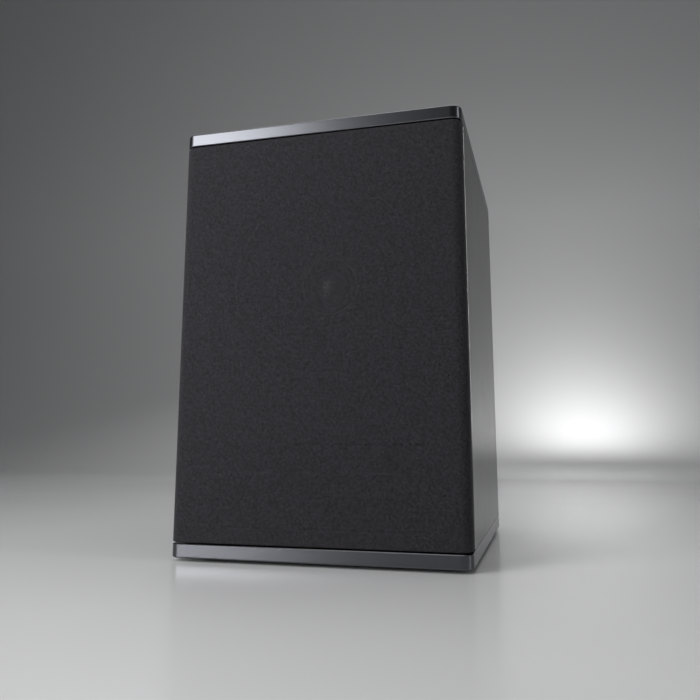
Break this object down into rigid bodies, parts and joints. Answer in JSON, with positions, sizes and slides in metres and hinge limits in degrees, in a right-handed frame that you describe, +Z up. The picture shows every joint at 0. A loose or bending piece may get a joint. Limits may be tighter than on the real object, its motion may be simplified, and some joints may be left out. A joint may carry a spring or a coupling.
{
  "type": "bookshelf loudspeaker",
  "caption": "Compact shelf loudspeaker with dark metal end caps, a full-height cloth grille, a coaxial driver, a slot port and recessed binding posts.",
  "frame": {"origin": "centre of the footprint, on the surface that the four rubber feet stand on", "axes": "+Z up along the tallest side, +X to the listener's right along the narrowest side, +Y from the grille to the rear panel"},
  "size_m": [0.22, 0.26, 0.328],
  "materials": {
    "grille_cloth": "fine black acoustic knit",
    "black_plastic": "fine moulded texture",
    "satin_plastic": "satin moulded",
    "dark_anodised": "dark satin anodised, finely brushed, bright bevels",
    "black_lacquer": "satin black lacquer over fibreboard",
    "raw_board": "bare medium density fibreboard",
    "soft_rubber": "matt",
    "roll_rubber": "smooth matt",
    "foam_rubber": "fine foam",
    "cast_alloy": "textured powder coat over a cast alloy",
    "cone_pulp": "pressed pulp",
    "spider_cloth": "resin-dipped weave",
    "plated_steel": "bright zinc",
    "ferrite": "ground ferrite",
    "coil_former": "thin foil",
    "copper_wire": "enamelled copper winding",
    "dome_metal": "satin spun dome",
    "circuit_board": "green solder mask",
    "gold_plate": "gold plated",
    "red_knob": "red",
    "black_knob": "black",
    "black_screws": "black oxide",
    "capacitor_film": "film wrap",
    "resistor_ceramic": "matt",
    "red_sleeve": "lead sleeve",
    "black_sleeve": "lead sleeve",
    "wadding": "loose polyester fibre"
  },
  "bodies": {
    "cabinet": {"grille_sockets": "soft_rubber", "top_cap": "dark_anodised", "bottom_cap": "dark_anodised", "side_panel_left": "black_lacquer", "side_panel_right": "black_lacquer", "rear_panel": "black_lacquer", "front_baffle": "black_lacquer", "top_panel": "raw_board", "bottom_panel": "raw_board", "window_brace": "raw_board", "rubber_feet": "soft_rubber", "port_duct": "black_plastic", "woofer_basket": "cast_alloy", "driver_gasket": "foam_rubber", "trim_ring": "satin_plastic", "woofer_surround": "roll_rubber", "woofer_spider": "spider_cloth", "top_plate": "plated_steel", "yoke": "plated_steel", "ferrite_magnet": "ferrite", "tweeter_cup": "satin_plastic", "tweeter_horn": "satin_plastic", "tweeter_surround": "roll_rubber", "tweeter_magnet": "plated_steel", "driver_tag_strip": "circuit_board", "terminal_cup": "black_plastic", "binding_post_positive": "gold_plate", "binding_post_negative": "gold_plate", "solder_tags": "gold_plate", "terminal_nuts": "plated_steel", "driver_screws": "black_screws", "port_screws": "black_screws", "terminal_screws": "black_screws", "bottom_cap_screws": "black_screws", "top_cap_screws": "black_screws", "board_screws": "plated_steel", "board_standoffs": "satin_plastic", "crossover_board": "circuit_board", "woofer_inductor": "copper_wire", "inductor_bobbin": "satin_plastic", "tweeter_inductor": "copper_wire", "film_capacitors": "capacitor_film", "ceramic_resistors": "resistor_ceramic", "positive_leads": "red_sleeve", "negative_leads": "black_sleeve", "wadding_right": "wadding", "wadding_top": "wadding", "wadding_rear": "wadding"},
    "grille": {"grille_frame": "black_plastic", "grille_cloth": "grille_cloth", "grille_pegs": "black_plastic"},
    "woofer_moving": {"woofer_cone": "cone_pulp", "voice_coil_former": "coil_former", "voice_coil": "copper_wire"},
    "tweeter_moving": {"tweeter_dome": "dome_metal", "tweeter_voice_coil": "copper_wire"},
    "washer_positive": {"clamp_washer_positive": "gold_plate"},
    "knob_positive": {"binding_knob_positive": "red_knob"},
    "washer_negative": {"clamp_washer_negative": "gold_plate"},
    "knob_negative": {"binding_knob_negative": "black_knob"}
  },
  "joints": [
    {"name": "grille_pull", "type": "slide", "parent": "cabinet", "child": "grille", "axis": [0, -1, 0], "range_m": [0, 0.06]},
    {"name": "woofer_stroke", "type": "slide", "parent": "cabinet", "child": "woofer_moving", "axis": [0, -1, 0], "range_m": [-0.005, 0.005], "stiffness_N_per_m": 1100, "deforming": ["woofer_surround", "woofer_spider"]},
    {"name": "tweeter_stroke", "type": "slide", "parent": "cabinet", "child": "tweeter_moving", "axis": [0, -1, 0], "range_m": [-0.0004, 0.0004], "stiffness_N_per_m": 1500, "deforming": ["tweeter_surround"]},
    {"name": "washer_slide_positive", "type": "slide", "parent": "cabinet", "child": "washer_positive", "axis": [0, 1, 0], "range_m": [0, 0.005]},
    {"name": "knob_turn_positive", "type": "hinge", "parent": "washer_positive", "child": "knob_positive", "pos_m": [0.0095, 0.11, 0.155], "axis": [0, 1, 0], "range_deg": [0, 1801]},
    {"name": "washer_slide_negative", "type": "slide", "parent": "cabinet", "child": "washer_negative", "axis": [0, 1, 0], "range_m": [0, 0.005]},
    {"name": "knob_turn_negative", "type": "hinge", "parent": "washer_negative", "child": "knob_negative", "pos_m": [-0.0095, 0.11, 0.155], "axis": [0, 1, 0], "range_deg": [0, 1801]}
  ],
  "couplings": [
    {"joint": "knob_turn_positive", "follows": "washer_slide_positive", "rad_per_m": 6283.2},
    {"joint": "knob_turn_negative", "follows": "washer_slide_negative", "rad_per_m": 6283.2}
  ]
}
